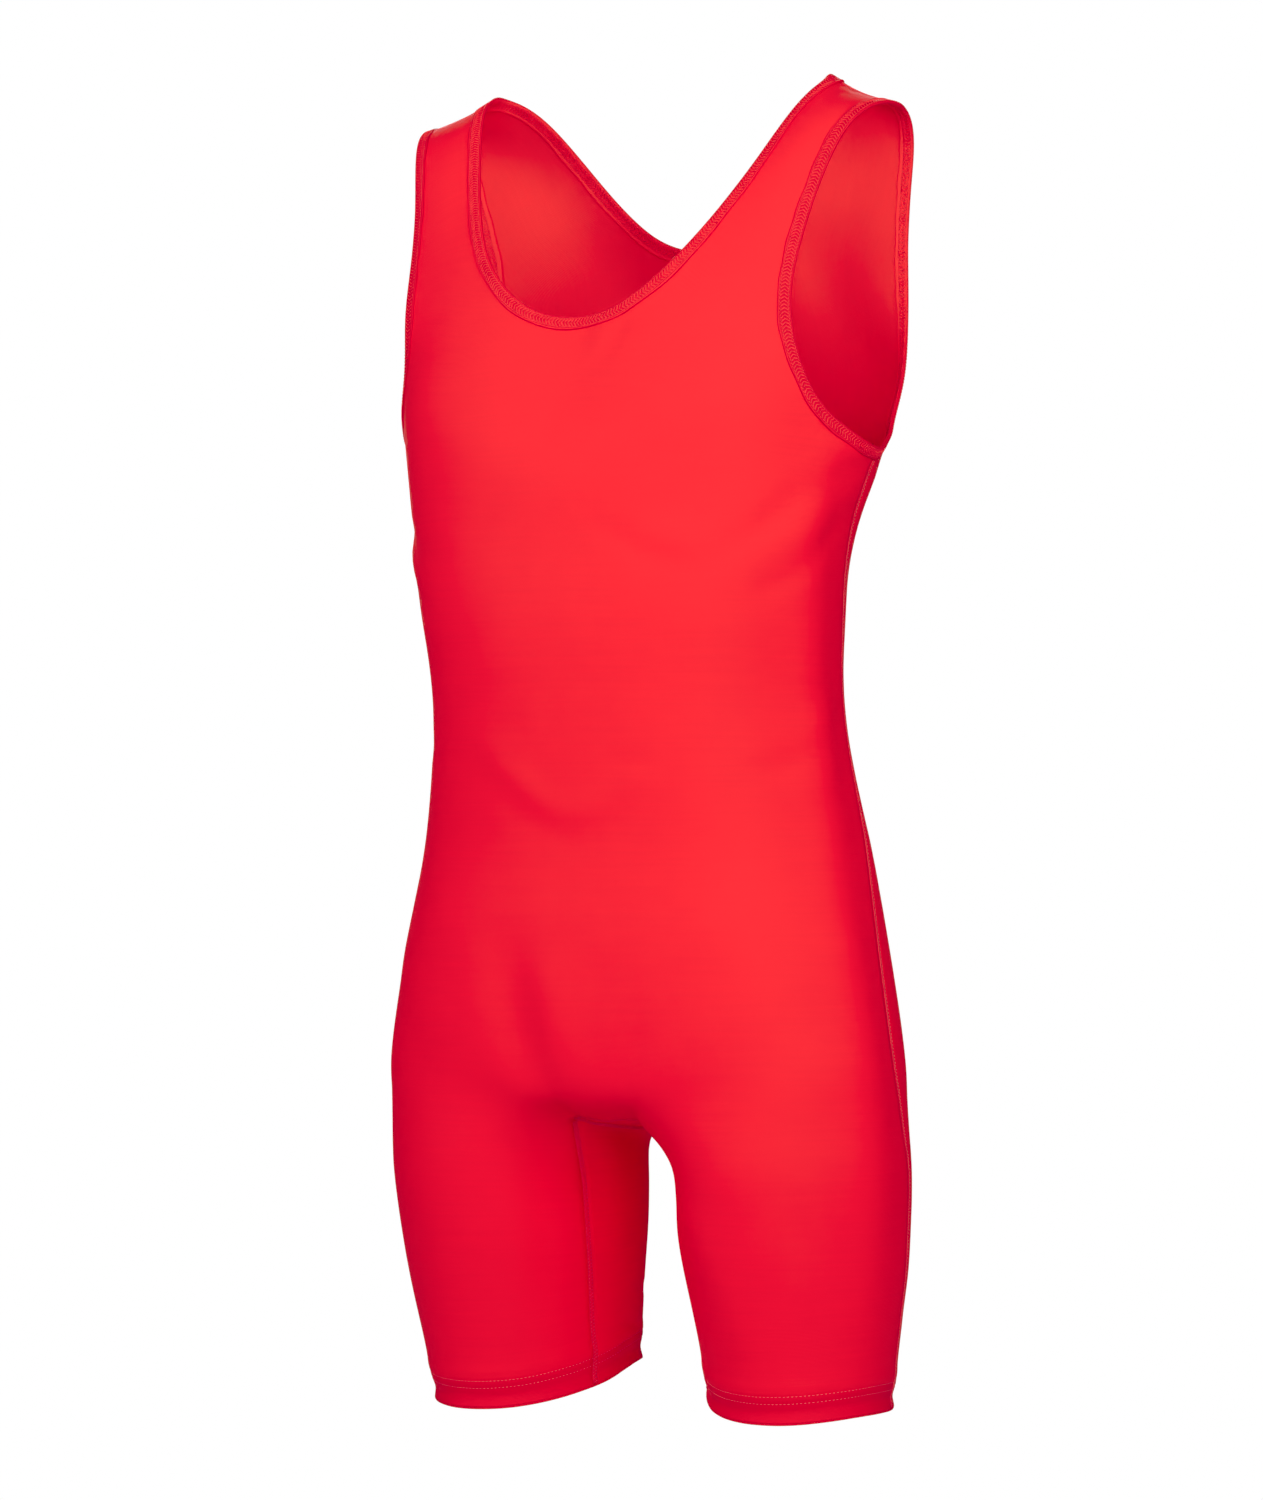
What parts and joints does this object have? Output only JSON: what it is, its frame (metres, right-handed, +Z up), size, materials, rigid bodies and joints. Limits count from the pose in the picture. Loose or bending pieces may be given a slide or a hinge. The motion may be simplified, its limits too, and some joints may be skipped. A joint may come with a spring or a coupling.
{
  "type": "wrestling singlet",
  "caption": "One-piece sleeveless stretch-knit wrestling singlet, shown filled out as worn, with a scoop neck, deep armholes, a full back and legs to the lower thigh.",
  "frame": {"origin": "between the two shoulder straps, at the height where they rest on the wearer's shoulders", "axes": "+Z up, -Y out of the garment's front, +X towards the wearer's left"},
  "size_m": [0.3722, 0.2422, 0.8985],
  "materials": {
    "body_knit": "smooth stretch knit with a soft satin sheen",
    "binding_knit": "folded stretch-knit binding, satin"
  },
  "bodies": {
    "root": {"front_panel": "body_knit", "back_panel": "body_knit", "crotch_gusset": "body_knit", "leg_hem_left": "body_knit", "leg_hem_right": "body_knit", "neck_binding": "binding_knit", "armhole_binding_left": "binding_knit", "armhole_binding_right": "binding_knit"}
  },
  "joints": []
}
